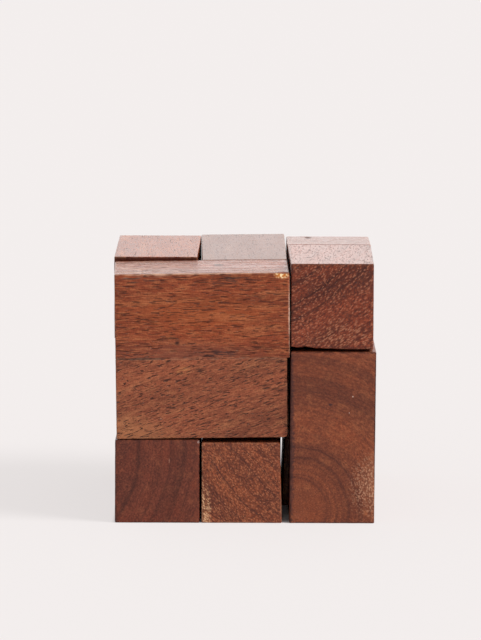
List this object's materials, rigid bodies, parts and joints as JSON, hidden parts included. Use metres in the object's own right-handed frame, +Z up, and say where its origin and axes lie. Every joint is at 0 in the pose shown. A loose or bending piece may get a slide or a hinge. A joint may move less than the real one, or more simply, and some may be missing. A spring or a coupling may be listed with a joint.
{
  "type": "wooden block puzzle cube",
  "caption": "Wooden block puzzle: bars of square stock glued into interlocking pieces that stand together as a loose cube and slide apart.",
  "frame": {"origin": "on the table under the middle of the cube, on the underside of the middle foot bar", "axes": "+Z up, +X to the viewer's right and +Y away from the viewer, so the face in the picture looks along -Y"},
  "size_m": [0.0616, 0.0622, 0.0606],
  "materials": {
    "red_brown_wood": "planed hardwood with a worn oil finish, reddish brown",
    "tan_brown_wood": "planed hardwood with a worn oil finish, tan brown",
    "dark_brown_wood": "planed hardwood with a worn oil finish, dark maroon brown",
    "warm_brown_wood": "planed hardwood with a worn oil finish, warm brown"
  },
  "bodies": {
    "core": {"middle_foot_bar": "warm_brown_wood", "cross_bar": "warm_brown_wood", "middle_back_post": "dark_brown_wood"},
    "front_piece": {"front_upper_bar": "red_brown_wood", "front_lower_bar": "tan_brown_wood", "top_middle_bar": "tan_brown_wood"},
    "left_back_piece": {"top_left_bar": "red_brown_wood", "left_back_post": "warm_brown_wood"},
    "right_top_piece": {"top_right_bar": "dark_brown_wood", "right_back_post": "red_brown_wood"},
    "right_front_piece": {"right_front_post": "warm_brown_wood", "right_sill_bar": "tan_brown_wood"},
    "left_foot_piece": {"left_foot_bar": "dark_brown_wood", "left_inner_block": "red_brown_wood"}
  },
  "joints": [
    {"name": "front_pull", "type": "slide", "parent": "core", "child": "front_piece", "axis": [0, -1, 0], "range_m": [0, 0.072]},
    {"name": "right_top_lift", "type": "slide", "parent": "core", "child": "right_top_piece", "axis": [0, 0, 1], "range_m": [0, 0.051]},
    {"name": "left_back_pull", "type": "slide", "parent": "core", "child": "left_back_piece", "axis": [-1, 0, 0], "range_m": [0, 0.03]},
    {"name": "right_front_pull", "type": "slide", "parent": "core", "child": "right_front_piece", "axis": [1, 0, 0], "range_m": [0, 0.03]},
    {"name": "left_foot_pull", "type": "slide", "parent": "core", "child": "left_foot_piece", "axis": [-1, 0, 0], "range_m": [0, 0.03]}
  ]
}
